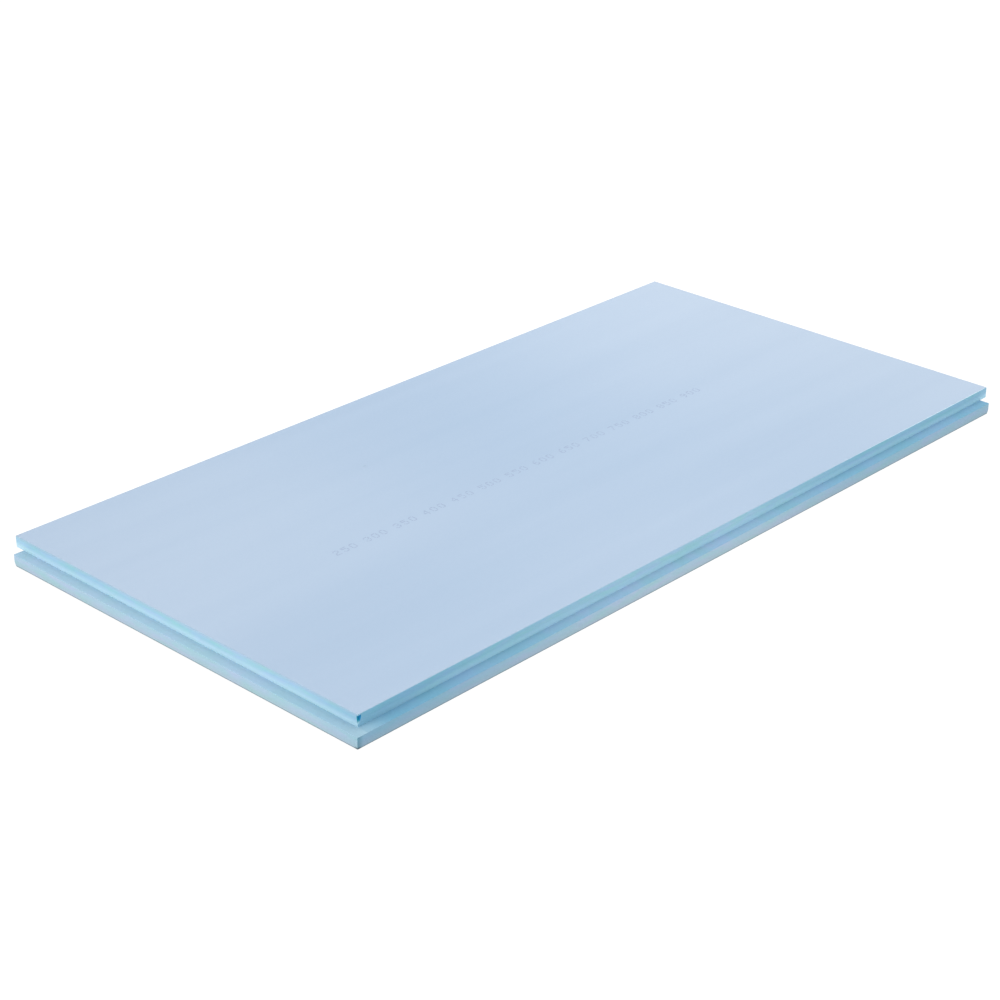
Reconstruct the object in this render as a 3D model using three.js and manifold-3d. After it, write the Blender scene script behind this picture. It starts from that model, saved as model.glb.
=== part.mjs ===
// One rigid foam insulation board with half-lapped edges all round, lying flat.
// Millimetres, +Z up. X runs along the board, Y across it and Z through its thickness.
// The origin is the middle of the board's whole outline, on the floor.
import * as THREE from "three";
import { ConvexGeometry } from "three/addons/geometries/ConvexGeometry.js";
import { mergeVertices } from "three/addons/utils/BufferGeometryUtils.js";
import Module from "manifold-3d";

// What one board covers when its laps are closed against the next boards
const coverLength = 1200;
const coverWidth = 600;
const thickness = 30;

// The lap: how far one lip stands out past the other, how high above the floor two boards'
// lips meet, and the play left between them so that a closed lap never binds
const lapReach = 15;
const lapHeight = 15;
const lapPlay = 0.3;

// Easing of the arrises: where the skin turns down, and where only cut faces meet
const skinArris = 1;
const cutArris = 0.4;
const arrisSteps = 4;

// The notch knocked into the upper lip's front corner: its reach along the board's long
// and short sides, how far its valley lies behind both, and how far down it runs out
const notchAlong = 5;
const notchAcross = 2;
const notchValley = 3.5;
const notchDown = 11;

// The wear that takes the tips off the lower lip's bottom corners at its two far ends
const wearReach = 3;
const wearHeight = 6;

// Finish
const foamColour = 0xbcd0e6;
const foamRoughness = 0.55;

// How far a cutting shape runs past the faces that it cuts
const overrun = 5;

const wasm = await Module();
wasm.setup();

// A closed three.js geometry as a solid for cutting.
function solidOf(geometry) {
  const bare = geometry.index ? geometry.toNonIndexed() : geometry.clone();
  bare.deleteAttribute("normal");
  bare.deleteAttribute("uv");
  const merged = mergeVertices(bare);
  return new wasm.Manifold(
    new wasm.Mesh({
      numProp: 3,
      vertProperties: merged.attributes.position.array,
      triVerts: new Uint32Array(merged.index.array),
    }),
  );
}

// A cut solid as a three.js geometry again.
function geometryOf(solid) {
  const { vertProperties, triVerts } = solid.getMesh();
  const geometry = new THREE.BufferGeometry();
  geometry.setAttribute("position", new THREE.BufferAttribute(vertProperties, 3));
  geometry.setIndex(new THREE.BufferAttribute(triVerts, 1));
  geometry.computeVertexNormals();
  return geometry;
}

// A closed outline through right-angled corners, each turned with its own radius.
function roundedOutline(corners) {
  const outline = new THREE.Shape();
  corners.forEach(([corner, radius], i) => {
    const [before] = corners.at(i - 1);
    const [after] = corners[(i + 1) % corners.length];
    const start = corner.clone().add(before.clone().sub(corner).setLength(radius));
    const end = corner.clone().add(after.clone().sub(corner).setLength(radius));
    if (i === 0) outline.moveTo(start.x, start.y);
    else outline.lineTo(start.x, start.y);
    if (radius > 0) outline.quadraticCurveTo(corner.x, corner.y, end.x, end.y);
  });
  outline.closePath();
  return outline;
}

// The board's section over one covering span: the lower lip stands out at the near end
// and the upper lip at the far end, each by the same reach.
function lapSection(span) {
  const far = (span + lapReach) / 2;
  const near = (span - lapReach) / 2;
  const ledge = lapHeight - lapPlay / 2;
  const overhang = lapHeight + lapPlay / 2;
  const point = (along, height) => new THREE.Vector2(along, height);
  return roundedOutline([
    [point(-far, 0), skinArris],
    [point(near, 0), skinArris],
    [point(near, overhang), 0],
    [point(far, overhang), cutArris],
    [point(far, thickness), skinArris],
    [point(-near, thickness), skinArris],
    [point(-near, ledge), 0],
    [point(-far, ledge), cutArris],
  ]);
}

// The section run along a direction, long enough to pass both sides of the board.
function sectionBar(span, crossSpan, sectionAxis, runAxis) {
  const run = crossSpan + lapReach + 2 * overrun;
  const bar = new THREE.ExtrudeGeometry(lapSection(span), {
    depth: run,
    bevelEnabled: false,
    curveSegments: arrisSteps,
  });
  bar.translate(0, 0, -run / 2);
  const up = new THREE.Vector3(0, 0, 1);
  return bar.applyMatrix4(new THREE.Matrix4().makeBasis(sectionAxis, up, runAxis));
}

// The blank as it leaves the line, lapped along both long edges, and then milled with
// the same lap across both ends: the two runs of the section leave what they share.
function lappedBoard() {
  const x = new THREE.Vector3(1, 0, 0);
  const y = new THREE.Vector3(0, 1, 0);
  const alongLength = solidOf(sectionBar(coverWidth, coverLength, y, x));
  const acrossEnds = solidOf(sectionBar(coverLength, coverWidth, x, y.clone().negate()));
  return alongLength.intersect(acrossEnds);
}

// The hull that takes the notch out of the upper lip's front corner. It comes to a point
// on the corner's upright edge, and its other faces stand clear of the board.
function cornerNotch() {
  const corner = new THREE.Vector3(
    (lapReach - coverLength) / 2,
    (lapReach - coverWidth) / 2,
    thickness,
  );
  const foot = corner.clone().setZ(thickness - notchDown);
  const grow = (notchDown + overrun) / notchDown;
  const rim = [
    new THREE.Vector3(notchAlong, 0, notchDown),
    new THREE.Vector3(notchValley, notchValley, notchDown),
    new THREE.Vector3(0, notchAcross, notchDown),
  ].map((arm) => arm.multiplyScalar(grow).add(foot));
  const outside = new THREE.Vector3(-overrun, -overrun, overrun).add(corner);
  return solidOf(new ConvexGeometry([foot, outside, ...rim]));
}

// The wedge worn off a bottom corner of the lower lip. Its slanted face crosses the
// corner's three edges at the wear's sizes; inX and inY point into the board.
function cornerWear(x, y, inX, inY) {
  const share = (2 * overrun) / wearReach + overrun / wearHeight;
  const outside = new THREE.Vector3(x - inX * overrun, y - inY * overrun, -overrun);
  const tips = [
    new THREE.Vector3(inX * wearReach * (1 + share), 0, 0),
    new THREE.Vector3(0, inY * wearReach * (1 + share), 0),
    new THREE.Vector3(0, 0, wearHeight * (1 + share)),
  ];
  return solidOf(new ConvexGeometry([outside, ...tips.map((tip) => tip.add(outside))]));
}

function foamBoard() {
  const lipEndX = (coverLength + lapReach) / 2;
  const lipEndY = (coverWidth + lapReach) / 2;
  const solid = lappedBoard()
    .subtract(cornerNotch())
    .subtract(cornerWear(-lipEndX, lipEndY - lapReach, 1, -1))
    .subtract(cornerWear(lipEndX - lapReach, -lipEndY, -1, 1));
  const foam = new THREE.MeshStandardMaterial({
    color: foamColour,
    roughness: foamRoughness,
    metalness: 0,
  });
  const board = new THREE.Mesh(geometryOf(solid), foam);
  board.name = "board";
  return board;
}

const part = new THREE.Group();
part.add(foamBoard());

export default part;
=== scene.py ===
import math

import bpy
import numpy as np
from mathutils import Matrix, Vector, noise


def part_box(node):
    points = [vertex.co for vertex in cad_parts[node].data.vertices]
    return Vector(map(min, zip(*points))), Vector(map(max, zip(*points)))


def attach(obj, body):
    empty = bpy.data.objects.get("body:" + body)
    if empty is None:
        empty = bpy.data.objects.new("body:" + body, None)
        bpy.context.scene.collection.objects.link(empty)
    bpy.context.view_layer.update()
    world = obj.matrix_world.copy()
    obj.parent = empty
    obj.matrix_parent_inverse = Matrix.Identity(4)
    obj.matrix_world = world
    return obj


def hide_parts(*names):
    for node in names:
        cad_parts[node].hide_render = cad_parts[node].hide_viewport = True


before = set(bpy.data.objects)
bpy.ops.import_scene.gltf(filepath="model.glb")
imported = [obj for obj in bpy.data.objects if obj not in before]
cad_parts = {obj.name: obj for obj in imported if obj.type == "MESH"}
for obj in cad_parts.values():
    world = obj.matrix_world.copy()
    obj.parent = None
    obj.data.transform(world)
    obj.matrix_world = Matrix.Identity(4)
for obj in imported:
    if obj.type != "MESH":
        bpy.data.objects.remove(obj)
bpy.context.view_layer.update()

bl_info = {
    "name": "Half-lapped foam board",
    "version": (1, 0, 0),
    "blender": (4, 5, 0),
    "location": "3D View > Sidebar > Foam Board",
    "description": "Makes a rigid foam board with lapped edges, its printed scale and its studio",
    "category": "Object",
}

MM = 0.001
BODY = "root"
NODE = "board"
BOARD_LOW, BOARD_HIGH = (Vector(corner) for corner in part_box(NODE))

# Two mesh lines or heights closer together than this are the same one
SAME = 1e-6

# Rows of dots that make each printed digit, from its top row down
DIGIT_ROWS = {
    "0": ("01110", "10001", "10001", "10001", "10001", "10001", "01110"),
    "1": ("00100", "01100", "00100", "00100", "00100", "00100", "01110"),
    "2": ("01110", "10001", "00001", "00110", "01000", "10000", "11111"),
    "3": ("01110", "10001", "00001", "00110", "00001", "10001", "01110"),
    "4": ("00010", "00110", "01010", "10010", "11111", "00010", "00010"),
    "5": ("11111", "10000", "11110", "00001", "00001", "10001", "01110"),
    "6": ("00110", "01000", "10000", "11110", "10001", "10001", "01110"),
    "7": ("11111", "00001", "00010", "00100", "00100", "01000", "01000"),
    "8": ("01110", "10001", "10001", "01110", "10001", "10001", "01110"),
    "9": ("01110", "10001", "10001", "01111", "00001", "00010", "01100"),
}


def length_property(name, description, default):
    return bpy.props.FloatProperty(
        name=name, description=description, default=default, unit="LENGTH", precision=5
    )


def colour_property(name, description, default):
    return bpy.props.FloatVectorProperty(
        name=name,
        description=description,
        default=default,
        size=3,
        min=0.0,
        max=1.0,
        subtype="COLOR",
    )


def power_property(name, description, default):
    return bpy.props.FloatProperty(
        name=name, description=description, default=default, min=0.0, unit="POWER"
    )


def angle_property(name, description, degrees):
    return bpy.props.FloatProperty(
        name=name, description=description, default=math.radians(degrees), subtype="ANGLE"
    )


def number_property(name, description, default):
    kind = bpy.props.IntProperty if isinstance(default, int) else bpy.props.FloatProperty
    return kind(name=name, description=description, default=default)


class BoardSizes(bpy.types.PropertyGroup):
    lap_reach: length_property("Lap reach", "How far one lip stands out past the other", 15 * MM)
    lap_height: length_property("Lap height", "Height at which two boards' lips meet", 15 * MM)
    lap_play: length_property("Lap play", "Gap left between two closed lips", 0.3 * MM)
    arris: length_property("Skin arris", "Radius where the skin turns down", 1.0 * MM)
    cut_arris: length_property("Cut arris", "Easing where only cut faces meet", 0.25 * MM)
    cell: length_property("Mesh step", "Size of the faces away from the edges", 7 * MM)
    wander: length_property("Edge wander", "How far a milled edge strays inwards", 0.3 * MM)
    notch_along: length_property("Notch length", "Reach along the long side", 5.2 * MM)
    notch_across: length_property("Notch width", "Reach along the short side", 1.6 * MM)
    notch_valley: length_property("Notch valley", "How far the valley lies behind", 3.4 * MM)
    notch_down: length_property("Notch depth", "How far down the notch runs out", 11 * MM)
    wear_reach: length_property("Wear reach", "Reach of the worn bottom corners", 3.2 * MM)
    wear_height: length_property("Wear height", "Height of the worn bottom corners", 6.5 * MM)


class BoardColours(bpy.types.PropertyGroup):
    skin: colour_property("Skin", "Smooth top and bottom faces", (0.3945, 0.5185, 0.681))
    skin_light: colour_property("Skin bands", "Paler bands along the skin", (0.4345, 0.555, 0.712))
    # Painted shade and painted sheen laid over the skin in broad zones
    skin_cool: colour_property("Skin, cooler", "Broad darker zones of the skin", (0.1, 0.28, 0.5))
    skin_pale: colour_property("Skin, paler", "Broad paler zones of the skin", (0.95, 0.97, 1.0))
    wall: colour_property("Wall", "Fresh cut foam on the walls of the laps", (0.342, 0.64, 0.67))
    wall_blue: colour_property("Wall, bluer", "Bluer patches there", (0.405, 0.585, 0.795))
    # The ledge colours are darker than the wall's: painted shade of the ledge under the upper
    # lip's wall
    ledge: colour_property("Ledge", "Foam pressed by the cutter's flat end", (0.262, 0.48, 0.575))
    ledge_blue: colour_property("Ledge, bluer", "Bluer patches there", (0.335, 0.465, 0.67))
    lip: colour_property("Lip", "Dusty cut foam on the ends of the lips", (0.318, 0.525, 0.585))
    lip_blue: colour_property("Lip, bluer", "Bluer patches there", (0.39, 0.49, 0.655))
    glazed: colour_property("Glazed", "Streaks that the cutter has glazed", (0.15, 0.42, 0.62))
    # Painted shade towards the ends of the lips
    deep: colour_property("Deep", "Denser foam towards the ends of the lips", (0.12, 0.305, 0.475))
    # Painted shade in the laps: towards their ends, high on the long walls and on the ledges'
    # outer part
    deep_cut: colour_property("Deep cut", "Denser foam in the laps", (0.1, 0.35, 0.53))
    # Painted fill light: paler low on the walls, where shade falls in the crease, and on the
    # ledges across the ends; also paler low in the notch
    frayed: colour_property("Frayed", "Foam that the cutter has frayed pale", (0.66, 0.86, 0.97))
    # The painted fill light on the long sides' walls
    frayed_blue: colour_property("Frayed, bluer", "The same on the long sides", (0.52, 0.83, 0.95))
    arris: colour_property("Arris", "Pressed line along the arrises", (0.36, 0.54, 0.68))
    torn: colour_property("Torn", "Foam torn open at the corner", (0.01, 0.38, 0.5))
    torn_blue: colour_property("Torn, bluer", "Its far side", (0.005, 0.27, 0.57))
    # Greyer and darker towards the foot of the lips
    dust: colour_property("Dust", "Grey dust low on the lips", (0.36, 0.38, 0.34))
    # Painted contact shadow along the bottom arris
    soil: colour_property("Soil", "Dirt along the bottom arris", (0.11, 0.15, 0.18))
    ink: colour_property("Ink", "Printed scale", (0.25, 0.33, 0.53))
    cloud: colour_property("Clouds", "Broad mottling of the skin", (0.33, 0.5, 0.7))
    grain: colour_property("Grain", "Pimples of the skin", (0.3, 0.42, 0.6))
    # Painted highlight along the near side's top arris
    gleam: colour_property("Gleam", "Bright arris along the near side", (0.72, 0.92, 1.0))
    # Painted shade on the top arris of the two far sides
    far_arris: colour_property("Far arris", "Greyer arris on the far sides", (0.36, 0.42, 0.46))
    cell_wall: colour_property("Cell walls", "Broken walls of cut cells", (0.75, 0.9, 0.97))
    # Painted shade high on the short sides' walls
    shaded: colour_property("Shaded", "Greyer foam high on the short sides", (0.4, 0.42, 0.54))
    front_edge: colour_property("Front edge", "Upright edge at the corner", (0.06, 0.2, 0.27))
    front_ledge: colour_property("Front ledge", "Paler ledge at the corner", (0.36, 0.56, 0.68))
    # Painted contact shadow on the lower lip's front tip
    tip: colour_property("Tip", "Dirt on the lower lip's front tip", (0.015, 0.03, 0.045))


class MarkSizes(bpy.types.PropertyGroup):
    first: number_property("First", "First number, in millimetres", 250)
    last: number_property("Last", "Last number, in millimetres", 900)
    step: number_property("Step", "Millimetres between numbers", 50)
    dot: length_property("Dot", "Diameter of one printed dot", 1.75 * MM)
    pitch: length_property("Pitch", "Distance between the dots of a digit", 1.7 * MM)
    advance: length_property("Advance", "Distance between two digits", 13.2 * MM)
    line: length_property("Line", "Place of the digits' middle across the board", -7 * MM)
    film: length_property("Film", "How far the ink stands above the skin", 0.02 * MM)
    seed: number_property("Seed", "Seed of the dots' unevenness", 4)


class StudioSettings(bpy.types.PropertyGroup):
    azimuth: angle_property("Azimuth", "Camera's bearing round the board", -46.673)
    elevation: angle_property("Elevation", "Camera's angle above the floor", 26.083)
    roll: angle_property("Roll", "Camera's lean", 0.158)
    distance: length_property("Distance", "Camera's distance from its target", 2.944777)
    lens: number_property("Lens", "Focal length in millimetres", 83.137)
    sensor: number_property("Sensor", "Width of the sensor in millimetres", 36.0)
    target: bpy.props.FloatVectorProperty(
        name="Target",
        description="Point that the camera looks at",
        default=(-0.07437, -0.00812, 0.00103),
        size=3,
        subtype="TRANSLATION",
    )
    overhead: power_property("Overhead", "Power of the panel above the board", 33.0)
    left: power_property("Left", "Power of the panel that lights the short near side", 24.0)
    front: power_property("Front", "Power of the panel that lights the long near side", 14.0)
    back: power_property("Back", "Power of the panel that gleams on the far corners", 14.0)
    sky: number_property("Sky", "Strength of the soft light from all round", 0.55)
    floor_glow: number_property("Floor glow", "Light given off by the lit white floor", 0.88)
    floor_half: length_property("Floor", "Half of the floor's width", 30.0)
    floor: colour_property("Floor colour", "White sweep", (0.2, 0.2, 0.2))


# Nodes

def rgba(colour):
    return (colour[0], colour[1], colour[2], 1.0)


def feed(tree, socket, value):
    """Gives a socket its value, or links it to the socket that feeds it."""
    if isinstance(value, bpy.types.NodeSocket):
        tree.links.new(value, socket)
    elif socket.type == "RGBA":
        socket.default_value = rgba(value)
    else:
        socket.default_value = value


def add_node(tree, kind, settings=None, inputs=None):
    """A node with its settings, its values and what feeds it."""
    node = tree.nodes.new(kind)
    for name, value in (settings or {}).items():
        setattr(node, name, value)
    for name, value in (inputs or {}).items():
        feed(tree, node.inputs[name], value)
    return node


def mix_colours(tree, factor, first, second):
    """The colour between two colours or sockets."""
    node = add_node(tree, "ShaderNodeMix", {"data_type": "RGBA"})
    feed(tree, node.inputs[0], factor)
    feed(tree, node.inputs[6], first)
    feed(tree, node.inputs[7], second)
    return node.outputs[2]


def math_node(tree, operation, first, second=None, clamp=False):
    node = add_node(tree, "ShaderNodeMath", {"operation": operation, "use_clamp": clamp})
    feed(tree, node.inputs[0], first)
    if second is not None:
        feed(tree, node.inputs[1], second)
    return node.outputs[0]


def vector_node(tree, operation, first, second=None):
    node = add_node(tree, "ShaderNodeVectorMath", {"operation": operation})
    feed(tree, node.inputs[0], first)
    if second is not None:
        feed(tree, node.inputs[1], second)
    return node.outputs["Value" if operation == "LENGTH" else "Vector"]


def axes_of(tree, vector):
    return add_node(tree, "ShaderNodeSeparateXYZ", {}, {"Vector": vector}).outputs


def smooth_step(tree, value, low, high, start=0.0, end=1.0):
    """A value eased from start to end while it passes from low to high."""
    limits = {"From Min": low, "From Max": high, "To Min": start, "To Max": end}
    settings = {"interpolation_type": "SMOOTHSTEP"}
    node = add_node(tree, "ShaderNodeMapRange", settings, {"Value": value, **limits})
    return node.outputs["Result"]


def new_group(name, inputs, outputs):
    """An empty shader group with its sockets, and its input and output nodes."""
    group = bpy.data.node_groups.new(name, "ShaderNodeTree")
    for title, kind, default in inputs:
        socket = group.interface.new_socket(title, in_out="INPUT", socket_type=kind)
        if default is not None:
            socket.default_value = default
    for title, kind in outputs:
        group.interface.new_socket(title, in_out="OUTPUT", socket_type=kind)
    return group, group.nodes.new("NodeGroupInput"), group.nodes.new("NodeGroupOutput")


VECTOR, FLOAT = "NodeSocketVector", "NodeSocketFloat"


def build_patches():
    """Soft patches of any proportions: broad mottling, streaks or bands."""
    group, given, result = new_group(
        "Soft patches",
        [("Vector", VECTOR, None), ("Size", VECTOR, (1.0, 1.0, 1.0)), ("Contrast", FLOAT, 1.0)],
        [("Mask", FLOAT)],
    )
    stretched = vector_node(group, "DIVIDE", given.outputs["Vector"], given.outputs["Size"])
    clouds = add_node(
        group,
        "ShaderNodeTexNoise",
        {"noise_dimensions": "3D"},
        {"Vector": stretched, "Scale": 1.0, "Detail": 3.0, "Roughness": 0.55},
    )
    centred = math_node(group, "SUBTRACT", clouds.outputs["Fac"], 0.5)
    spread = math_node(group, "MULTIPLY", centred, given.outputs["Contrast"])
    group.links.new(math_node(group, "ADD", spread, 0.5, clamp=True), result.inputs["Mask"])
    return group


def build_cells():
    """Cut foam cells: a speckle of tones and the height of their broken walls."""
    group, given, result = new_group(
        "Foam cells",
        [("Vector", VECTOR, None), ("Cells per metre", FLOAT, 1800.0)],
        [("Tone", FLOAT), ("Height", FLOAT)],
    )
    walls = add_node(
        group,
        "ShaderNodeTexVoronoi",
        {"feature": "F1"},
        {"Vector": given.outputs["Vector"], "Scale": given.outputs["Cells per metre"]},
    )
    coarse_scale = math_node(group, "MULTIPLY", given.outputs["Cells per metre"], 0.21)
    coarse = add_node(
        group,
        "ShaderNodeTexNoise",
        {},
        {"Vector": given.outputs["Vector"], "Scale": coarse_scale, "Detail": 4.0},
    )
    tone = add_node(group, "ShaderNodeSeparateColor", {}, {"Color": walls.outputs["Color"]})
    blended = math_node(group, "MULTIPLY", tone.outputs[0], 0.35)
    grain = math_node(group, "MULTIPLY", coarse.outputs["Fac"], 0.65)
    group.links.new(math_node(group, "ADD", blended, grain), result.inputs["Tone"])
    lifted = math_node(group, "ADD", walls.outputs["Distance"], coarse.outputs["Fac"])
    group.links.new(lifted, result.inputs["Height"])
    return group


def build_height_band():
    """A soft band between two heights above the floor."""
    group, given, result = new_group(
        "Height band",
        [
            ("Vector", VECTOR, None),
            ("Bottom", FLOAT, 0.0),
            ("Top", FLOAT, 0.01),
            ("Fade", FLOAT, 0.001),
        ],
        [("Mask", FLOAT)],
    )
    height = axes_of(group, given.outputs["Vector"])["Z"]
    below = math_node(group, "SUBTRACT", given.outputs["Bottom"], given.outputs["Fade"])
    above = math_node(group, "ADD", given.outputs["Top"], given.outputs["Fade"])
    rising = smooth_step(group, height, below, given.outputs["Bottom"])
    falling = smooth_step(group, height, given.outputs["Top"], above, 1.0, 0.0)
    group.links.new(math_node(group, "MULTIPLY", rising, falling), result.inputs["Mask"])
    return group


def build_spot():
    """One soft spot of any proportions: full at its centre and gone at its reach."""
    group, given, result = new_group(
        "Soft spot",
        [
            ("Vector", VECTOR, None),
            ("Centre", VECTOR, (0.0, 0.0, 0.0)),
            ("Reach", VECTOR, (1.0, 1.0, 1.0)),
        ],
        [("Mask", FLOAT)],
    )
    away = vector_node(group, "SUBTRACT", given.outputs["Vector"], given.outputs["Centre"])
    share = vector_node(group, "DIVIDE", away, given.outputs["Reach"])
    mask = smooth_step(group, vector_node(group, "LENGTH", share), 0.0, 1.0, 1.0, 0.0)
    group.links.new(mask, result.inputs["Mask"])
    return group


GROUPS = {}


def foam_groups():
    """The shared shader groups, built once."""
    if not GROUPS:
        GROUPS.update(patches=build_patches(), cells=build_cells())
        GROUPS.update(band=build_height_band(), spot=build_spot())
    return GROUPS


def new_material(name, preview):
    """An empty node material, its object coordinates and its shader."""
    material = bpy.data.materials.new(name)
    material.use_nodes = True
    material.diffuse_color = rgba(preview)
    tree = material.node_tree
    tree.nodes.clear()
    place = tree.nodes.new("ShaderNodeTexCoord").outputs["Object"]
    shader = tree.nodes.new("ShaderNodeBsdfPrincipled")
    output = tree.nodes.new("ShaderNodeOutputMaterial")
    tree.links.new(shader.outputs["BSDF"], output.inputs["Surface"])
    return material, tree, place, shader


def bump(tree, height, distance, strength=1.0, below=None):
    inputs = {"Height": height, "Distance": distance, "Strength": strength}
    if below is not None:
        inputs["Normal"] = below
    return add_node(tree, "ShaderNodeBump", {}, inputs).outputs["Normal"]


def tint(tree, colour, mask, share, target):
    """The colour with a share of another one laid over it where a mask is full."""
    return mix_colours(tree, math_node(tree, "MULTIPLY", mask, share), colour, target)


def shared(tree, group, inputs):
    """The outputs of one of the shared groups, used with its inputs."""
    settings = {"node_tree": foam_groups()[group]}
    return add_node(tree, "ShaderNodeGroup", settings, inputs).outputs


def patch_mask(tree, place, size, contrast):
    return shared(tree, "patches", {"Vector": place, "Size": size, "Contrast": contrast})["Mask"]


def spot_mask(tree, place, centre, reach):
    return shared(tree, "spot", {"Vector": place, "Centre": centre, "Reach": reach})["Mask"]


def foam_cells(tree, place, density):
    return shared(tree, "cells", {"Vector": place, "Cells per metre": density})


def line_mask(tree, name):
    return add_node(tree, "ShaderNodeAttribute", {"attribute_name": name}).outputs["Fac"]


# Cells per metre of the pressed skin, of cut foam and of torn foam
SKIN_CELLS = 950.0
CUT_CELLS = 1700.0
TORN_CELLS = 1300.0

# Size in metres and contrast of the skin's bands, clouds and slow waves
SKIN_BANDS = ((1.4, 0.07, 0.5), 1.7)
SKIN_CLOUDS = ((0.16, 0.1, 0.1), 1.6)
SKIN_WAVES = ((0.5, 0.018, 0.5), 1.0)

# The skin's broad zones of painted shade and painted sheen: centre, reach, share of the other
# colour, and which one it is
SKIN_LIGHT_ZONES = (
    ((0.01, 0.17, 0.0), (0.36, 0.5, 1.0), 0.14, "skin_cool"),
    ((-0.38, -0.19, 0.0), (0.42, 0.24, 1.0), 0.085, "skin_cool"),
    ((-0.6, 0.12, 0.0), (0.5, 0.35, 1.0), 0.05, "skin_pale"),
    ((0.75, 0.05, 0.0), (0.6, 1.2, 1.0), 0.14, "skin_pale"),
)

# Centre and reach of the skin's one dent, of the painted contact shadow on the lower lip's front
# tip, and of the paler ledge around the front corner
SKIN_DENT = ((-0.1655, 0.1455, 0.03), (0.0032, 0.0032, 0.0032))
TIP_CONTACT_SHADOW = ((-0.6075, -0.3075, 0.0), (0.008, 0.008, 0.0042))
FRONT_LEDGE = ((-0.602, -0.302, 0.015), (0.055, 0.06, 0.05))

# Bottom, top and fade of the painted contact shadow along the bottom: on the skin and on the lips
SKIN_CONTACT_SHADOW = {"Bottom": -0.01, "Top": 0.0008, "Fade": 0.0008}
LIP_CONTACT_SHADOW = {"Bottom": -0.01, "Top": 0.0009, "Fade": 0.0012}

# Length and width in metres, and contrast, of the mottling and of the cutter's streaks
MOTTLE = (0.042, 0.009, 3.2)
STREAKS = (0.09, 0.0024, 2.2)

# Height that divides the lower half's faces from the upper half's, and where the latter
# starts
HALF_SPLIT = 0.0147
UPPER_HALF = 0.015


def skin_material(colours):
    """Satin extrusion skin: faint bands along the board, fine pimples and pressed arrises, with
    painted shade and sheen zones, a painted arris highlight and painted contact shadow.
    """
    material, tree, place, shader = new_material("Foam skin", colours.skin)
    along = axes_of(tree, place)
    grain = foam_cells(tree, place, SKIN_CELLS)
    bands = patch_mask(tree, place, *SKIN_BANDS)
    colour = mix_colours(tree, bands, colours.skin, colours.skin_light)
    colour = tint(tree, colour, patch_mask(tree, place, *SKIN_CLOUDS), 0.06, colours.cloud)
    colour = tint(tree, colour, grain["Tone"], 0.07, colours.grain)
    # Painted shade and painted sheen in broad zones of the skin
    for centre, reach, share, name in SKIN_LIGHT_ZONES:
        light_zone = spot_mask(tree, place, centre, reach)
        colour = tint(tree, colour, light_zone, share, getattr(colours, name))

    # The pressed arris all round, with a painted highlight along the near side and painted shade
    # on the far sides
    arris = line_mask(tree, "arris")
    colour = tint(tree, colour, arris, 0.3, colours.arris)
    near = smooth_step(tree, along["Y"], -0.285, -0.28, 1.0, 0.0)
    highlight_mask = math_node(tree, "MULTIPLY", smooth_step(tree, along["X"], 0.15, 0.5), near)
    highlight_mask = math_node(tree, "MULTIPLY", highlight_mask, arris)
    colour = tint(tree, colour, highlight_mask, 0.8, colours.gleam)
    far_end = smooth_step(tree, along["X"], 0.598, 0.602)
    far_side = smooth_step(tree, along["Y"], 0.298, 0.302)
    far = math_node(tree, "MAXIMUM", far_end, far_side)
    far = math_node(tree, "MULTIPLY", far, arris)
    # Painted shade on the far sides' arris
    colour = tint(tree, colour, far, 0.4, colours.far_arris)

    # Painted contact shadow along the bottom arris
    soil = shared(tree, "band", {"Vector": place, **SKIN_CONTACT_SHADOW})["Mask"]
    shadowed_rim = math_node(tree, "MULTIPLY", soil, line_mask(tree, "rim"))
    colour = tint(tree, colour, shadowed_rim, 0.9, colours.soil)
    # Painted contact shadow on the lower lip's front tip
    colour = tint(tree, colour, spot_mask(tree, place, *TIP_CONTACT_SHADOW), 0.95, colours.tip)
    feed(tree, shader.inputs["Base Color"], colour)
    rough = smooth_step(tree, grain["Tone"], 0.2, 0.8, 0.46, 0.56)
    feed(tree, shader.inputs["Roughness"], rough)
    feed(tree, shader.inputs["IOR"], 1.5)

    dent = math_node(tree, "MULTIPLY", spot_mask(tree, place, *SKIN_DENT), -1.0)
    normal = bump(tree, patch_mask(tree, place, *SKIN_WAVES), 0.0004, 0.35)
    normal = bump(tree, grain["Height"], 0.00006, 0.5, normal)
    normal = bump(tree, dent, 0.0008, 1.0, normal)
    feed(tree, shader.inputs["Normal"], normal)
    return material


# Where painted shade darkens the milled faces along their length: two places, and the share of the
# darker colour at each of them
ALONG_END_SHADE = ((-0.62, -0.12, 0.62, 0.0), (0.03, 0.3, 0.0, 0.37))
PAINTED_END_SHADE = {
    ("wall", True): ALONG_END_SHADE,
    ("ledge", True): ALONG_END_SHADE,
    ("lip", True): ALONG_END_SHADE,
    ("wall", False): ((-0.3, -0.19, 0.3, 0.0), (0.06, 0.2, 0.0, 0.12)),
    ("ledge", False): ((-0.3, -0.08, 0.34, 0.0),),
    ("lip", False): ((-0.3, -0.22, 0.16, 0.0),),
}


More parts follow.
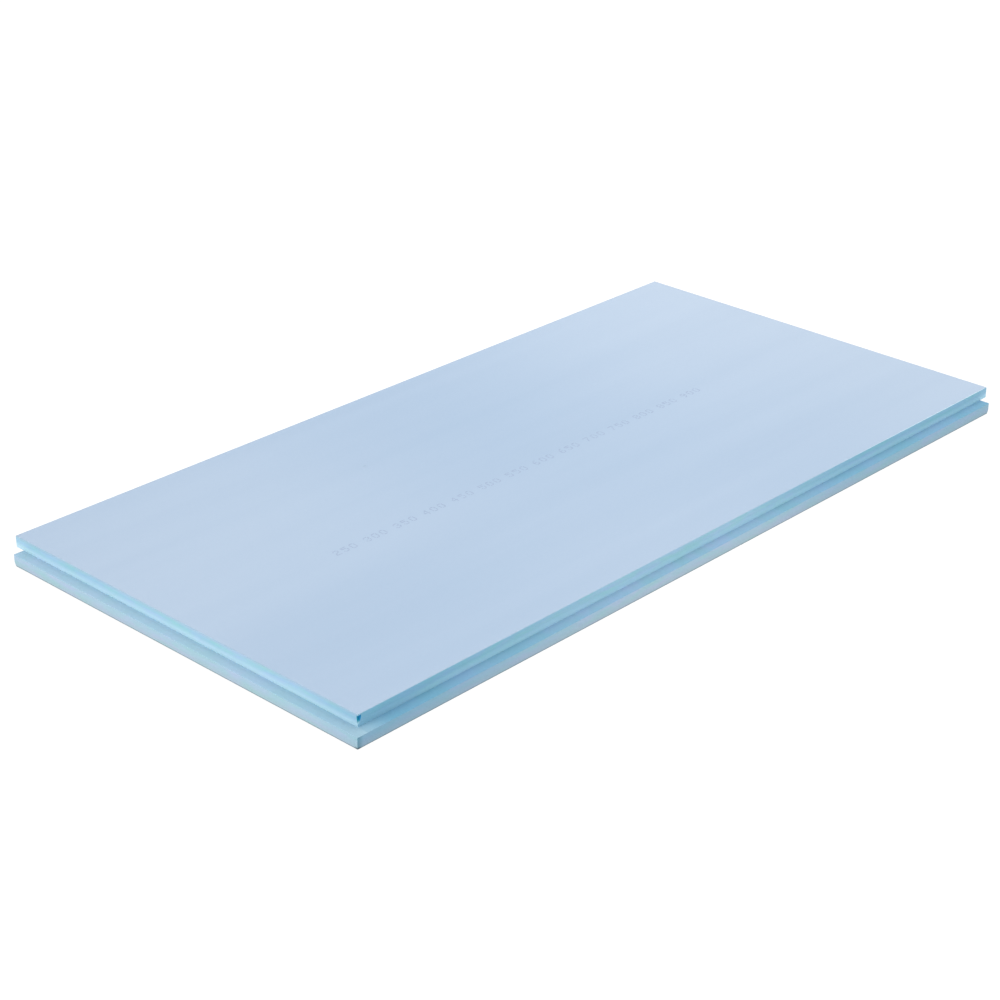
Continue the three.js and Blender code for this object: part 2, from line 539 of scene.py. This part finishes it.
def wall_tones(tree, colour, colours, axes, height, along_x):
    """A lap's wall: painted fill light low down, where shade falls in the crease, and painted
    shade under the skin.
    """
    low = smooth_step(tree, height, 0.0025, 0.0095, 1.0, 0.0)
    top = smooth_step(tree, height, 0.0105, 0.0135)
    if not along_x:
        # Painted fill light low on the wall, where shade falls in the crease
        colour = tint(tree, colour, low, 0.5, colours.frayed)
        # Painted shade high on the wall, under the skin
        return tint(tree, colour, top, 0.24, colours.shaded)
    # Painted fill light low on the wall along the board, held lower near the front corner so its
    # crease shade shows
    fill_share = smooth_step(tree, axes["X"], -0.6, -0.42, 0.25, 1.0)
    colour = tint(tree, colour, math_node(tree, "MULTIPLY", low, fill_share), 0.45, colours.frayed_blue)
    # Painted shade high on the wall, under the skin
    return tint(tree, colour, top, 0.1, colours.deep_cut)


def lip_tones(tree, colour, colours, axes, height, along_x):
    """A lip's end: greyer and darker low down, and dark beside the upright edge of the front
    corner.
    """
    low = smooth_step(tree, height, 0.0, 0.0125, 1.0, 0.0)
    # Greyer and darker towards the foot of the lip
    colour = tint(tree, colour, low, 0.24, colours.dust)
    if not along_x:
        return colour
    edge = smooth_step(tree, axes["X"], -0.6075, -0.597, 1.0, 0.0)
    return tint(tree, colour, edge, 0.6, colours.front_edge)


def ledge_tones(tree, colour, colours, place, axes, along_x):
    """A lap's ledge: painted shade on its outer part along the board, painted light across the
    ends, and paler around the front corner.
    """
    across = math_node(tree, "ABSOLUTE", axes["Y" if along_x else "X"])
    if along_x:
        # Painted shade on the ledge's outer part along the board
        outer = smooth_step(tree, across, 0.2935, 0.3065)
        colour = tint(tree, colour, outer, 0.2, colours.deep_cut)
    else:
        # Painted light on the ledges across the ends, most at their inner part where shade falls
        # in the crease
        inner = smooth_step(tree, across, 0.5925, 0.6075, 1.0, 0.0)
        colour = tint(tree, colour, inner, 0.2, colours.frayed)
        open_part = smooth_step(tree, across, 0.5925, 0.594)
        colour = tint(tree, colour, open_part, 0.25, colours.frayed)
    front = spot_mask(tree, place, *FRONT_LEDGE)
    return tint(tree, colour, front, 0.85, colours.front_ledge)


def milled_material(name, colours, face, along_x):
    """Milled edge: open cells, streaks along the cut, glazed patches and a pale arris, with
    painted shade towards the ends and painted contact shadow along the bottom.
    """
    base = getattr(colours, face)
    bluer = getattr(colours, face + "_blue")
    # The darker colour of the painted shade towards the ends
    deep = colours.deep if face == "lip" else colours.deep_cut
    material, tree, place, shader = new_material(name, base)

    def run(length, width, contrast):
        size = (length, 0.05, width) if along_x else (0.05, length, width)
        return patch_mask(tree, place, size, contrast)

    streaks = run(*STREAKS)
    cells = foam_cells(tree, place, CUT_CELLS)
    axes = axes_of(tree, place)
    colour = mix_colours(tree, run(*MOTTLE), base, bluer)
    colour = tint(tree, colour, streaks, 0.16 if face == "lip" else 0.3, colours.glazed)
    colour = tint(tree, colour, cells["Tone"], 0.1, colours.cell_wall)
    # Painted shade towards the ends along the face's length
    for low, high, start, end in PAINTED_END_SHADE[(face, along_x)]:
        share = smooth_step(tree, axes["X" if along_x else "Y"], low, high, start, end)
        colour = mix_colours(tree, share, colour, deep)

    # Height above the bottom of the half of the thickness that the face belongs to
    upper = math_node(tree, "GREATER_THAN", axes["Z"], HALF_SPLIT)
    lift = math_node(tree, "MULTIPLY", upper, UPPER_HALF)
    height = math_node(tree, "SUBTRACT", axes["Z"], lift)
    if face == "wall":
        colour = wall_tones(tree, colour, colours, axes, height, along_x)
    elif face == "lip":
        colour = lip_tones(tree, colour, colours, axes, height, along_x)
    else:
        colour = ledge_tones(tree, colour, colours, place, axes, along_x)

    colour = tint(tree, colour, line_mask(tree, "arris"), 0.35, colours.arris)
    # Painted contact shadow along the bottom arris
    soil = shared(tree, "band", {"Vector": place, **LIP_CONTACT_SHADOW})["Mask"]
    colour = tint(tree, colour, soil, 0.75, colours.soil)
    # Painted contact shadow on the lower lip's front tip
    colour = tint(tree, colour, spot_mask(tree, place, *TIP_CONTACT_SHADOW), 0.95, colours.tip)
    feed(tree, shader.inputs["Base Color"], colour)
    rough = smooth_step(tree, streaks, 0.3, 0.9, 0.85, 0.68)
    feed(tree, shader.inputs["Roughness"], rough)
    feed(tree, shader.inputs["IOR"], 1.45)
    normal = bump(tree, streaks, 0.0003, 0.5)
    normal = bump(tree, cells["Height"], 0.00012, 0.7, normal)
    feed(tree, shader.inputs["Normal"], normal)
    return material


def torn_material(colours):
    """Foam torn open: deep in colour, rough, with large broken cells."""
    material, tree, place, shader = new_material("Torn foam", colours.torn)
    cells = foam_cells(tree, place, TORN_CELLS)
    axes = axes_of(tree, place)
    far = smooth_step(tree, axes["X"], -0.5905, -0.5885)
    colour = mix_colours(tree, far, colours.torn, colours.torn_blue)
    colour = tint(tree, colour, cells["Tone"], 0.12, colours.glazed)
    # Paler low in the notch, in the same pale colour as the painted fill light
    low = smooth_step(tree, axes["Z"], 0.0185, 0.0225, 1.0, 0.0)
    colour = tint(tree, colour, low, 0.6, colours.frayed)
    feed(tree, shader.inputs["Base Color"], colour)
    feed(tree, shader.inputs["Roughness"], 0.9)
    feed(tree, shader.inputs["Normal"], bump(tree, cells["Height"], 0.0003, 0.9))
    return material


def ink_material(colours):
    """Thin grey ink that takes the grain of the skin under it."""
    material, tree, place, shader = new_material("Printing ink", colours.ink)
    grain = foam_cells(tree, place, SKIN_CELLS)
    share = math_node(tree, "MULTIPLY", grain["Tone"], 0.5)
    colour = mix_colours(tree, share, colours.ink, colours.skin)
    feed(tree, shader.inputs["Base Color"], colour)
    feed(tree, shader.inputs["Roughness"], 0.55)
    feed(tree, shader.inputs["Normal"], bump(tree, grain["Height"], 0.00006, 0.5))
    return material


# The board's mesh

# Share of a rounding's radius at which the mesh has a line inside it
ROUNDING_LINE = 0.586

# A milled edge's wander dies out over this distance
STRAY_DEPTH = 4 * MM

# Crushed corners: how far the crushing reaches in shares of the wear, how uneven it is,
# how softly it ends, and how many bumps it has per metre
WEAR_REACH = 1.6
WEAR_UNEVEN = 0.12
WEAR_BLEND = 0.35
WEAR_BUMPS = 900

# The notch: the foam left over it, the torn faces' bumps per metre, their height in
# millimetres and how far apart their three directions are drawn, and how full its sides are
NOTCH_COVER = 1.6 * MM
TORN_BUMPS = 700
TORN_HEIGHT = 0.3
TORN_APART = (0.0, 31.7, 63.1)
NOTCH_FULLNESS = 2.2

# Triangles of the notch's cutter: its points 0 to 5 lie round the rim and 6 to 9 round
# the foot
CUTTER_FACES = (
    *((4, 5, 0), (4, 0, 1), (4, 1, 2), (4, 2, 3)),
    *((1, 0, 6), (2, 1, 6), (3, 2, 6), (3, 6, 7), (4, 3, 7), (4, 7, 8)),
    *((5, 4, 8), (5, 8, 9), (0, 5, 9), (0, 9, 6), (6, 9, 8), (6, 8, 7)),
)


def edge_offsets(radius):
    """Distances inwards from an edge at which the mesh has lines."""
    further = [distance * MM for distance in (1.7, 2.5, 3.4, 4.6, 6.0)]
    return [0.0, ROUNDING_LINE * radius, radius, *further]


def filled(lines, step):
    """The lines with even ones added wherever two lie further apart than a step."""
    lines = sorted(set(round(line, 8) for line in lines))
    out = [lines[0]]
    for low, high in zip(lines, lines[1:]):
        count = max(1, math.ceil((high - low) / step - 1e-6))
        out += [low + (high - low) * i / count for i in range(1, count + 1)]
    return np.array(out)


def plan_lines(low, high, reach, sizes):
    """Mesh lines along one direction, fine inside the edges of both slabs."""
    inside = edge_offsets(sizes.arris)
    lines = [edge + d for edge in (low, low + reach) for d in inside]
    lines += [edge - d for edge in (high, high - reach) for d in inside]
    return filled(lines, sizes.cell)


def height_lines(sizes):
    thickness = BOARD_HIGH.z
    middle = sizes.lap_height
    inside = edge_offsets(sizes.arris)[:5]
    lines = inside + [thickness - d for d in inside]
    lines += [middle + offset * MM for offset in (-1.4, -0.5, 0.0, 0.5, 1.4)]
    return filled(lines, 2.2 * MM)


def cell_middles(lines):
    return (lines[:-1] + lines[1:]) / 2


def shell_quads(solid):
    """The outer quads of a block of cells, facing out: grid corners and each quad's axis."""
    quads, axes = [], []
    for axis in range(3):
        second, third = (axis + 1) % 3, (axis + 2) % 3
        rim = [(0, 0)] * 3
        rim[axis] = (1, 1)
        wide = np.pad(solid, rim)
        count = wide.shape[axis]
        before = np.take(wide, range(count - 1), axis)
        after = np.take(wide, range(1, count), axis)
        for outward, found in ((True, before & ~after), (False, after & ~before)):
            start = np.argwhere(found)
            corners = np.repeat(start[:, None, :], 4, axis=1)
            corners[:, 1, second] += 1
            corners[:, 2, second] += 1
            corners[:, 2, third] += 1
            corners[:, 3, third] += 1
            quads.append(corners if outward else corners[:, ::-1])
            axes.append(np.full(len(start), axis))
    return np.concatenate(quads), np.concatenate(axes)


def ease_slab(points, low, high, radius, upper):
    """Rounds a slab's outer edges. Its face towards the other slab is left open."""
    own = np.all((points >= low - SAME) & (points <= high + SAME), axis=1)
    inner_low, inner_high = low + radius, high - radius
    if upper:
        inner_low[2] = -1.0
    else:
        inner_high[2] = 1.0
    held = np.clip(points, inner_low, inner_high)
    out = points - held
    reach = np.linalg.norm(out, axis=1)
    turned = own & (reach > SAME)
    points[turned] = held[turned] + out[turned] / reach[turned, None] * radius
    return points


def smooth_max(value, limit, blend):
    """The larger of a value and a limit, with a soft change between the two."""
    h = np.clip(0.5 + 0.5 * (value - limit) / blend, 0, 1)
    return value * h + limit * (1 - h) + blend * h * (1 - h)


def wear_corner(points, corner, inward, reach, height):
    """Crushes a bottom corner back along its diagonal, softly and a little unevenly."""
    away = (points - corner) * np.array([inward[0], inward[1], 1.0])
    share = away[:, 0] / reach + away[:, 1] / reach + away[:, 2] / height
    near = (share < WEAR_REACH) & np.all(away > -0.5 * MM, axis=1)
    if not near.any():
        raise RuntimeError("no vertices lie at the worn corner")
    rough = np.array([noise.noise(Vector(p) * WEAR_BUMPS) for p in points[near]])
    wanted = smooth_max(share[near], 1.0 + WEAR_UNEVEN * rough, WEAR_BLEND)
    move = (wanted - share[near]) / 3
    direction = np.array([inward[0] * reach, inward[1] * reach, height])
    points[near] += move[:, None] * direction
    return points


def edge_stray(distances, seed, depth):
    """How far a milled edge lies inwards along its length: slow waves and small nicks."""
    slow = 0.5 + 0.5 * np.sin(distances * 17 + seed) * np.cos(distances * 5.3 + 2 * seed)
    nicks = np.array([noise.noise(Vector((d * 190, seed * 7.1, 0.3))) for d in distances])
    return depth * (0.45 * slow + 0.9 * np.clip(nicks - 0.25, 0, 1))


def stray_edges(points, sizes, bounds):
    """Moves the milled sides inwards by their wander, dying out over a few millimetres."""
    out = points.copy()
    for number, (axis, plane, inward, low, high) in enumerate(bounds):
        depth = (points[:, axis] - plane) * inward
        other = 1 - axis
        found = (depth > -SAME) & (depth < STRAY_DEPTH)
        found &= (points[:, 2] > low - SAME) & (points[:, 2] < high + SAME)
        fade = np.clip(1 - depth[found] / STRAY_DEPTH, 0, 1)
        move = edge_stray(points[found, other], number + 1.0, sizes.wander)
        skin_side = low if low < sizes.lap_height / 2 else high
        near_skin = np.clip(1 - np.abs(points[found, 2] - skin_side) / (3 * MM), 0.35, 1)
        out[found, axis] += inward * fade * move * near_skin
    return out


def board_shell(sizes):
    """Vertices, quads, finish numbers and arris lines of the whole board."""
    reach = sizes.lap_reach
    thickness = BOARD_HIGH.z
    xs = plan_lines(BOARD_LOW.x, BOARD_HIGH.x, reach, sizes)
    ys = plan_lines(BOARD_LOW.y, BOARD_HIGH.y, reach, sizes)
    zs = height_lines(sizes)
    x, y, z = np.meshgrid(cell_middles(xs), cell_middles(ys), cell_middles(zs), indexing="ij")
    upper_low = np.array([BOARD_LOW.x + reach, BOARD_LOW.y + reach, sizes.lap_height])
    upper_high = np.array([BOARD_HIGH.x, BOARD_HIGH.y, thickness])
    lower_low = np.array([BOARD_LOW.x, BOARD_LOW.y, 0.0])
    lower_high = np.array([BOARD_HIGH.x - reach, BOARD_HIGH.y - reach, sizes.lap_height])
    in_upper = (x > upper_low[0]) & (y > upper_low[1]) & (z > sizes.lap_height)
    in_lower = (x < lower_high[0]) & (y < lower_high[1]) & (z < sizes.lap_height)
    corners, axes = shell_quads(in_upper | in_lower)

    flat = (corners[..., 0] * len(ys) + corners[..., 1]) * len(zs) + corners[..., 2]
    used, quads = np.unique(flat, return_inverse=True)
    quads = quads.reshape(flat.shape)
    index_z = used % len(zs)
    index_y = (used // len(zs)) % len(ys)
    index_x = used // (len(zs) * len(ys))
    points = np.stack([xs[index_x], ys[index_y], zs[index_z]], 1)
    middles = points[quads].mean(axis=1)

    # Finish of each quad: 0 skin, 1 and 2 the lips' ends along and across the board,
    # 3 and 4 the laps' walls, 5 and 6 their ledges and overhangs
    finish = np.zeros(len(quads), int)
    outer = np.abs(middles[:, 1]) > BOARD_HIGH.y - reach / 2
    finish[axes == 1] = np.where(outer[axes == 1], 1, 3)
    outer = np.abs(middles[:, 0]) > BOARD_HIGH.x - reach / 2
    finish[axes == 0] = np.where(outer[axes == 0], 2, 4)
    ledge = (axes == 2) & (np.abs(middles[:, 2] - sizes.lap_height) < SAME)
    across = np.abs(middles[:, 0]) > BOARD_HIGH.x - reach
    finish[ledge] = np.where(across[ledge], 6, 5)

    # Lines along the arrises of the top, and along those of the bottom
    arris, rim = np.zeros(len(points)), np.zeros(len(points))
    rounded = sizes.arris * 0.99
    for low, high, skin, line in (
        (upper_low, upper_high, thickness, arris),
        (lower_low, lower_high, 0.0, rim),
    ):
        near_skin = np.abs(points[:, 2] - skin) < rounded
        for axis in (0, 1):
            for plane in (low[axis], high[axis]):
                beside = np.abs(points[:, axis] - plane) < rounded
                line[near_skin & beside] = 1.0

    # The lap's play: ledges sink and overhangs rise by half of it
    level = np.abs(points[:, 2] - sizes.lap_height) < SAME
    on_ledge = level & np.any(points[:, :2] < upper_low[:2] + SAME, axis=1)
    on_overhang = level & np.any(points[:, :2] > lower_high[:2] - SAME, axis=1)
    shift = (on_overhang.astype(float) - on_ledge.astype(float)) * sizes.lap_play / 2
    for side, edges, outer in ((-1, lower_low, on_ledge), (1, upper_high, on_overhang)):
        for axis in (0, 1):
            brink = outer & (np.abs(points[:, axis] - edges[axis]) < SAME)
            shift[brink] += side * sizes.cut_arris
            points[brink, axis] -= side * sizes.cut_arris
    points = ease_slab(points, upper_low, upper_high, sizes.arris, True)
    points = ease_slab(points, lower_low, lower_high, sizes.arris, False)
    points[:, 2] += shift

    middle = sizes.lap_height
    bounds = [
        (0, upper_low[0], 1, middle, thickness),
        (1, upper_low[1], 1, middle, thickness),
        (0, upper_high[0], -1, middle, thickness),
        (1, upper_high[1], -1, middle, thickness),
        (0, lower_low[0], 1, 0.0, middle - sizes.lap_play),
        (1, lower_low[1], 1, 0.0, middle - sizes.lap_play),
        (0, lower_high[0], -1, 0.0, middle),
        (1, lower_high[1], -1, 0.0, middle),
    ]
    points = stray_edges(points, sizes, bounds)
    worn = [
        ((lower_low[0], lower_high[1], 0.0), (1, -1)),
        ((lower_high[0], lower_low[1], 0.0), (-1, 1)),
    ]
    for corner, inward in worn:
        points = wear_corner(
            points, np.array(corner), inward, sizes.wear_reach, sizes.wear_height
        )
    return points, quads, finish, arris, rim


def place_piece(name, mesh, materials):
    """A new object at the origin that holds a finished mesh."""
    piece = bpy.data.objects.new(name, mesh)
    bpy.context.scene.collection.objects.link(piece)
    for material in materials:
        mesh.materials.append(material)
    return piece


def split_faces(points, triangles, parts):
    """Points and faces of triangles that are each split evenly into smaller ones."""
    numbers, spots, faces = {}, [], []

    def number(corners, i, j):
        shares = zip(corners, (parts - i - j, i, j))
        key = tuple(sorted(share for share in shares if share[1]))
        if key not in numbers:
            numbers[key] = len(spots)
            spots.append(sum((points[k] * count for k, count in key), Vector()) / parts)
        return numbers[key]

    for corners in triangles:
        for i in range(parts):
            for j in range(parts - i):
                ahead, beside = number(corners, i + 1, j), number(corners, i, j + 1)
                faces.append((number(corners, i, j), ahead, beside))
                if i + j < parts - 1:
                    faces.append((ahead, number(corners, i + 1, j + 1), beside))
    return spots, faces


def notch_cutter(sizes):
    """The rough wedge that takes the notch out of the upper lip's front corner."""
    reach = sizes.lap_reach
    corner = Vector((BOARD_LOW.x + reach, BOARD_LOW.y + reach, BOARD_HIGH.z - NOTCH_COVER))
    out = -4 * MM
    rim = (
        (sizes.notch_along, 0),
        (sizes.notch_valley, sizes.notch_valley),
        (0, sizes.notch_across),
        (out, sizes.notch_across),
        (out, out),
        (sizes.notch_along, out),
    )
    foot = ((0, 0), (out, 0), (out, out), (0, out))
    points = [corner + Vector((x, y, 0)) for x, y in rim]
    points += [corner + Vector((x, y, -sizes.notch_down)) for x, y in foot]
    spots, faces = split_faces(points, CUTTER_FACES, 6)
    for spot in spots:
        down = min(max((corner.z - spot.z) / sizes.notch_down, 0.0), 0.97)
        fuller = (1 - down**NOTCH_FULLNESS) / (1 - down)
        for axis in (0, 1):
            inwards = max(spot[axis] - corner[axis], 0.0)
            spot[axis] += inwards * (fuller - 1)
        places = [spot * TORN_BUMPS + Vector((0, 0, apart)) for apart in TORN_APART]
        push = Vector([noise.noise(place) for place in places]) * TORN_HEIGHT * MM
        push.z = min(push.z, 0)
        spot += push
    data = bpy.data.meshes.new("notch_cutter")
    data.from_pydata(spots, [], faces)
    return data


def applied(piece):
    """The piece's evaluated mesh, with its modifiers removed."""
    graph = bpy.context.evaluated_depsgraph_get()
    mesh = bpy.data.meshes.new_from_object(piece.evaluated_get(graph), depsgraph=graph)
    piece.modifiers.clear()
    old = piece.data
    piece.data = mesh
    bpy.data.meshes.remove(old)
    return piece


class FOAM_OT_board(bpy.types.Operator):
    """Make the foam board with its lapped edges and take the CAD board's place"""

    bl_idname = "foam.board"
    bl_label = "Foam board"

    def execute(self, context):
        sizes = context.scene.foam_board_sizes
        colours = context.scene.foam_board_colours
        points, quads, finish, arris, rim = board_shell(sizes)
        mesh = bpy.data.meshes.new("foam_board")
        mesh.from_pydata(points.tolist(), [], quads.tolist())
        for line, values in (("arris", arris), ("rim", rim)):
            layer = mesh.attributes.new(line, "FLOAT", "POINT")
            layer.data.foreach_set("value", values.astype(np.float32))
        materials = [skin_material(colours)]
        for face in ("lip", "wall", "ledge"):
            for along_x, run in ((True, "along the board"), (False, "across the end")):
                name = f"{face.capitalize()} {run}"
                materials.append(milled_material(name, colours, face, along_x))
        materials.append(torn_material(colours))
        piece = place_piece("foam_board", mesh, materials)
        mesh.polygons.foreach_set("material_index", finish.astype(np.int32))
        cutter = place_piece("notch_cutter", notch_cutter(sizes), [materials[-1]])
        cut = piece.modifiers.new("Notch", "BOOLEAN")
        cut.operation = "DIFFERENCE"
        cut.solver = "EXACT"
        cut.object = cutter
        cut.material_mode = "TRANSFER"
        applied(piece)
        bpy.data.objects.remove(cutter)
        piece.data.shade_smooth()
        piece.data.set_sharp_from_angle(angle=math.radians(32))
        if piece.data.validate(verbose=False):
            raise RuntimeError("the board's mesh was not valid")
        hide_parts(NODE)
        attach(piece, BODY)
        return {"FINISHED"}


# The printed scale

# Smallest and largest dot, in shares of the usual one
DOT_SIZES = (0.7, 1.1)


def digit_points(marks):
    """Centres of the dots that print the numbers of the scale, on the board's top."""
    start = BOARD_LOW.x + bpy.context.scene.foam_board_sizes.lap_reach
    points = []
    for number in range(marks.first, marks.last + 1, marks.step):
        text = str(number)
        for place, digit in enumerate(text):
            left = start + number * MM + (place - (len(text) - 1) / 2) * marks.advance
            for row, dots in enumerate(DIGIT_ROWS[digit]):
                for column, dot in enumerate(dots):
                    if dot == "1":
                        x = left + (column - 2) * marks.pitch
                        y = marks.line + (3 - row) * marks.pitch
                        points.append((x, y, BOARD_HIGH.z))
    return points


def geometry_socket(tree, title, kind, side="INPUT", default=None):
    socket = tree.interface.new_socket(title, in_out=side, socket_type=kind)
    if default is not None:
        socket.default_value = default
    return socket


def mark_tree():
    """Geometry nodes that print a flat dot of uneven size at each point."""
    tree = bpy.data.node_groups.new("Printed scale", "GeometryNodeTree")
    geometry_socket(tree, "Geometry", "NodeSocketGeometry")
    geometry_socket(tree, "Dot diameter", FLOAT, default=0.002)
    geometry_socket(tree, "Film", FLOAT, default=0.00002)
    geometry_socket(tree, "Seed", "NodeSocketInt", default=0)
    geometry_socket(tree, "Ink", "NodeSocketMaterial")
    geometry_socket(tree, "Geometry", "NodeSocketGeometry", "OUTPUT")
    given = tree.nodes.new("NodeGroupInput").outputs
    result = tree.nodes.new("NodeGroupOutput")

    radius = math_node(tree, "MULTIPLY", given["Dot diameter"], 0.5)
    thickness = math_node(tree, "MULTIPLY", given["Film"], 2.0)
    dot = add_node(
        tree,
        "GeometryNodeMeshCylinder",
        {},
        {"Vertices": 10, "Side Segments": 1, "Radius": radius, "Depth": thickness},
    )
    uneven = add_node(
        tree, "FunctionNodeRandomValue", {"data_type": "FLOAT"}, {"Seed": given["Seed"]}
    )
    uneven.inputs[2].default_value, uneven.inputs[3].default_value = DOT_SIZES
    size = add_node(tree, "ShaderNodeCombineXYZ", {}, {"Z": 1.0})
    for axis in ("X", "Y"):
        tree.links.new(uneven.outputs[1], size.inputs[axis])
    printed = add_node(
        tree,
        "GeometryNodeInstanceOnPoints",
        {},
        {"Points": given["Geometry"], "Instance": dot.outputs["Mesh"], "Scale": size.outputs[0]},
    )
    real = add_node(
        tree, "GeometryNodeRealizeInstances", {}, {"Geometry": printed.outputs["Instances"]}
    )
    inked = add_node(
        tree,
        "GeometryNodeSetMaterial",
        {},
        {"Geometry": real.outputs["Geometry"], "Material": given["Ink"]},
    )
    tree.links.new(inked.outputs["Geometry"], result.inputs["Geometry"])
    return tree


def set_modifier_inputs(modifier, values):
    """Sets a geometry nodes modifier's inputs by the sockets' identifiers."""
    sockets = {
        item.name: item.identifier
        for item in modifier.node_group.interface.items_tree
        if item.item_type == "SOCKET" and item.in_out == "INPUT"
    }
    for name, value in values.items():
        modifier[sockets[name]] = value


class FOAM_OT_scale(bpy.types.Operator):
    """Print the plain measuring scale along the middle of the board's top"""

    bl_idname = "foam.printed_scale"
    bl_label = "Printed scale"

    def execute(self, context):
        marks = context.scene.foam_board_marks
        colours = context.scene.foam_board_colours
        points = digit_points(marks)
        if not points:
            raise RuntimeError("the scale has no numbers")
        ink = ink_material(colours)
        mesh = bpy.data.meshes.new("printed_scale")
        mesh.from_pydata(points, [], [])
        piece = place_piece("printed_scale", mesh, [ink])
        modifier = piece.modifiers.new("Printed scale", "NODES")
        modifier.node_group = mark_tree()
        set_modifier_inputs(
            modifier,
            {"Dot diameter": marks.dot, "Film": marks.film, "Seed": marks.seed, "Ink": ink},
        )
        applied(piece)
        piece.data.name = "printed_scale"
        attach(piece, BODY)
        return {"FINISHED"}


# The studio

WHITE = (1.0, 1.0, 1.0)

# Each panel of light: where it stands in metres and how wide it is
PANELS = {
    "overhead": ((1.1, 0.25, 2.4), 2.4),
    "left": ((-2.6, 0.2, 0.95), 1.5),
    "front": ((0.0, -2.4, 1.2), 1.5),
    "back": ((2.0, 2.4, 1.4), 2.0),
}

# The camera sees this far, in metres
CAMERA_REACH = 200.0


def floor_material(studio):
    material, tree, place, shader = new_material("Studio floor", studio.floor)
    feed(tree, shader.inputs["Base Color"], studio.floor)
    feed(tree, shader.inputs["Roughness"], 1.0)
    feed(tree, shader.inputs["Specular IOR Level"], 0.0)
    feed(tree, shader.inputs["Emission Color"], WHITE)
    feed(tree, shader.inputs["Emission Strength"], studio.floor_glow)
    return material


def make_world(studio):
    """White behind everything that the camera sees, and a dimmer soft light on the board."""
    world = bpy.data.worlds.new("Studio")
    world.use_nodes = True
    tree = world.node_tree
    tree.nodes.clear()
    seen = add_node(tree, "ShaderNodeBackground", {}, {"Color": WHITE, "Strength": 1.0})
    light = add_node(tree, "ShaderNodeBackground", {}, {"Color": WHITE, "Strength": studio.sky})
    path = tree.nodes.new("ShaderNodeLightPath")
    choice = tree.nodes.new("ShaderNodeMixShader")
    output = tree.nodes.new("ShaderNodeOutputWorld")
    tree.links.new(path.outputs["Is Camera Ray"], choice.inputs[0])
    tree.links.new(light.outputs[0], choice.inputs[1])
    tree.links.new(seen.outputs[0], choice.inputs[2])
    tree.links.new(choice.outputs[0], output.inputs["Surface"])
    bpy.context.scene.world = world


def make_panel_light(name, place, size, power):
    """A square soft light that faces the middle of the board's foot."""
    data = bpy.data.lights.new(name, "AREA")
    data.shape = "SQUARE"
    data.size = size
    data.energy = power
    light = bpy.data.objects.new(name, data)
    light.location = place
    light.rotation_euler = (-Vector(place)).to_track_quat("-Z", "Y").to_euler()
    light.visible_camera = False
    bpy.context.scene.collection.objects.link(light)


def make_camera(studio):
    """The camera at the photograph's view, with its small roll."""
    azimuth, elevation = studio.azimuth, studio.elevation
    back = Vector(
        (
            math.sin(azimuth) * math.cos(elevation),
            -math.cos(azimuth) * math.cos(elevation),
            math.sin(elevation),
        )
    )
    right = Vector((math.cos(azimuth), math.sin(azimuth), 0.0))
    up = back.cross(right)
    leaned_right = right * math.cos(studio.roll) + up * math.sin(studio.roll)
    leaned_up = up * math.cos(studio.roll) - right * math.sin(studio.roll)
    data = bpy.data.cameras.new("Camera")
    data.sensor_width = studio.sensor
    data.lens = studio.lens
    data.clip_end = CAMERA_REACH
    camera = bpy.data.objects.new("Camera", data)
    matrix = np.eye(4)
    matrix[:3, :3] = np.array([leaned_right, leaned_up, back]).T
    matrix[:3, 3] = Vector(studio.target) + back * studio.distance
    bpy.context.scene.collection.objects.link(camera)
    camera.matrix_world = Matrix(matrix.tolist())
    bpy.context.scene.camera = camera


class FOAM_OT_studio(bpy.types.Operator):
    """Make the white floor, the soft studio light and the camera"""

    bl_idname = "foam.studio"
    bl_label = "Studio"

    def execute(self, context):
        studio = context.scene.foam_board_studio
        half = studio.floor_half
        mesh = bpy.data.meshes.new("studio_floor")
        corners = [(-half, -half, 0.0), (half, -half, 0.0), (half, half, 0.0), (-half, half, 0.0)]
        mesh.from_pydata(corners, [], [(0, 1, 2, 3)])
        floor = place_piece("studio_floor", mesh, [floor_material(studio)])
        make_world(studio)
        for name, (place, size) in PANELS.items():
            make_panel_light(name.capitalize(), place, size, getattr(studio, name))
        make_camera(studio)
        context.scene.view_settings.view_transform = "Standard"
        context.scene.view_settings.look = "None"
        context.scene.view_settings.exposure = 0.0
        context.scene.view_settings.gamma = 1.0
        return {"FINISHED"}


class FOAM_PT_board(bpy.types.Panel):
    """Lists what makes the board and its studio"""

    bl_idname = "FOAM_PT_board"
    bl_label = "Foam board"
    bl_space_type = "VIEW_3D"
    bl_region_type = "UI"
    bl_category = "Foam Board"

    def draw(self, context):
        for name, operators in (
            ("foam_board_sizes", ("foam.board",)),
            ("foam_board_colours", ()),
            ("foam_board_marks", ("foam.printed_scale",)),
            ("foam_board_studio", ("foam.studio",)),
        ):
            settings = getattr(context.scene, name)
            box = self.layout.box()
            for title in settings.bl_rna.properties.keys():
                if title not in {"rna_type", "name"}:
                    box.prop(settings, title)
            for operator in operators:
                box.operator(operator)


SETTINGS = {
    "foam_board_sizes": BoardSizes,
    "foam_board_colours": BoardColours,
    "foam_board_marks": MarkSizes,
    "foam_board_studio": StudioSettings,
}
CLASSES = (*SETTINGS.values(), FOAM_OT_board, FOAM_OT_scale, FOAM_OT_studio, FOAM_PT_board)


def register():
    for item in CLASSES:
        bpy.utils.register_class(item)
    for name, group in SETTINGS.items():
        setattr(bpy.types.Scene, name, bpy.props.PointerProperty(type=group))


def unregister():
    for name in SETTINGS:
        delattr(bpy.types.Scene, name)
    for item in reversed(CLASSES):
        bpy.utils.unregister_class(item)


def main():
    register()
    bpy.ops.foam.studio()
    bpy.ops.foam.board()
    bpy.ops.foam.printed_scale()


if __name__ == "__main__":
    main()
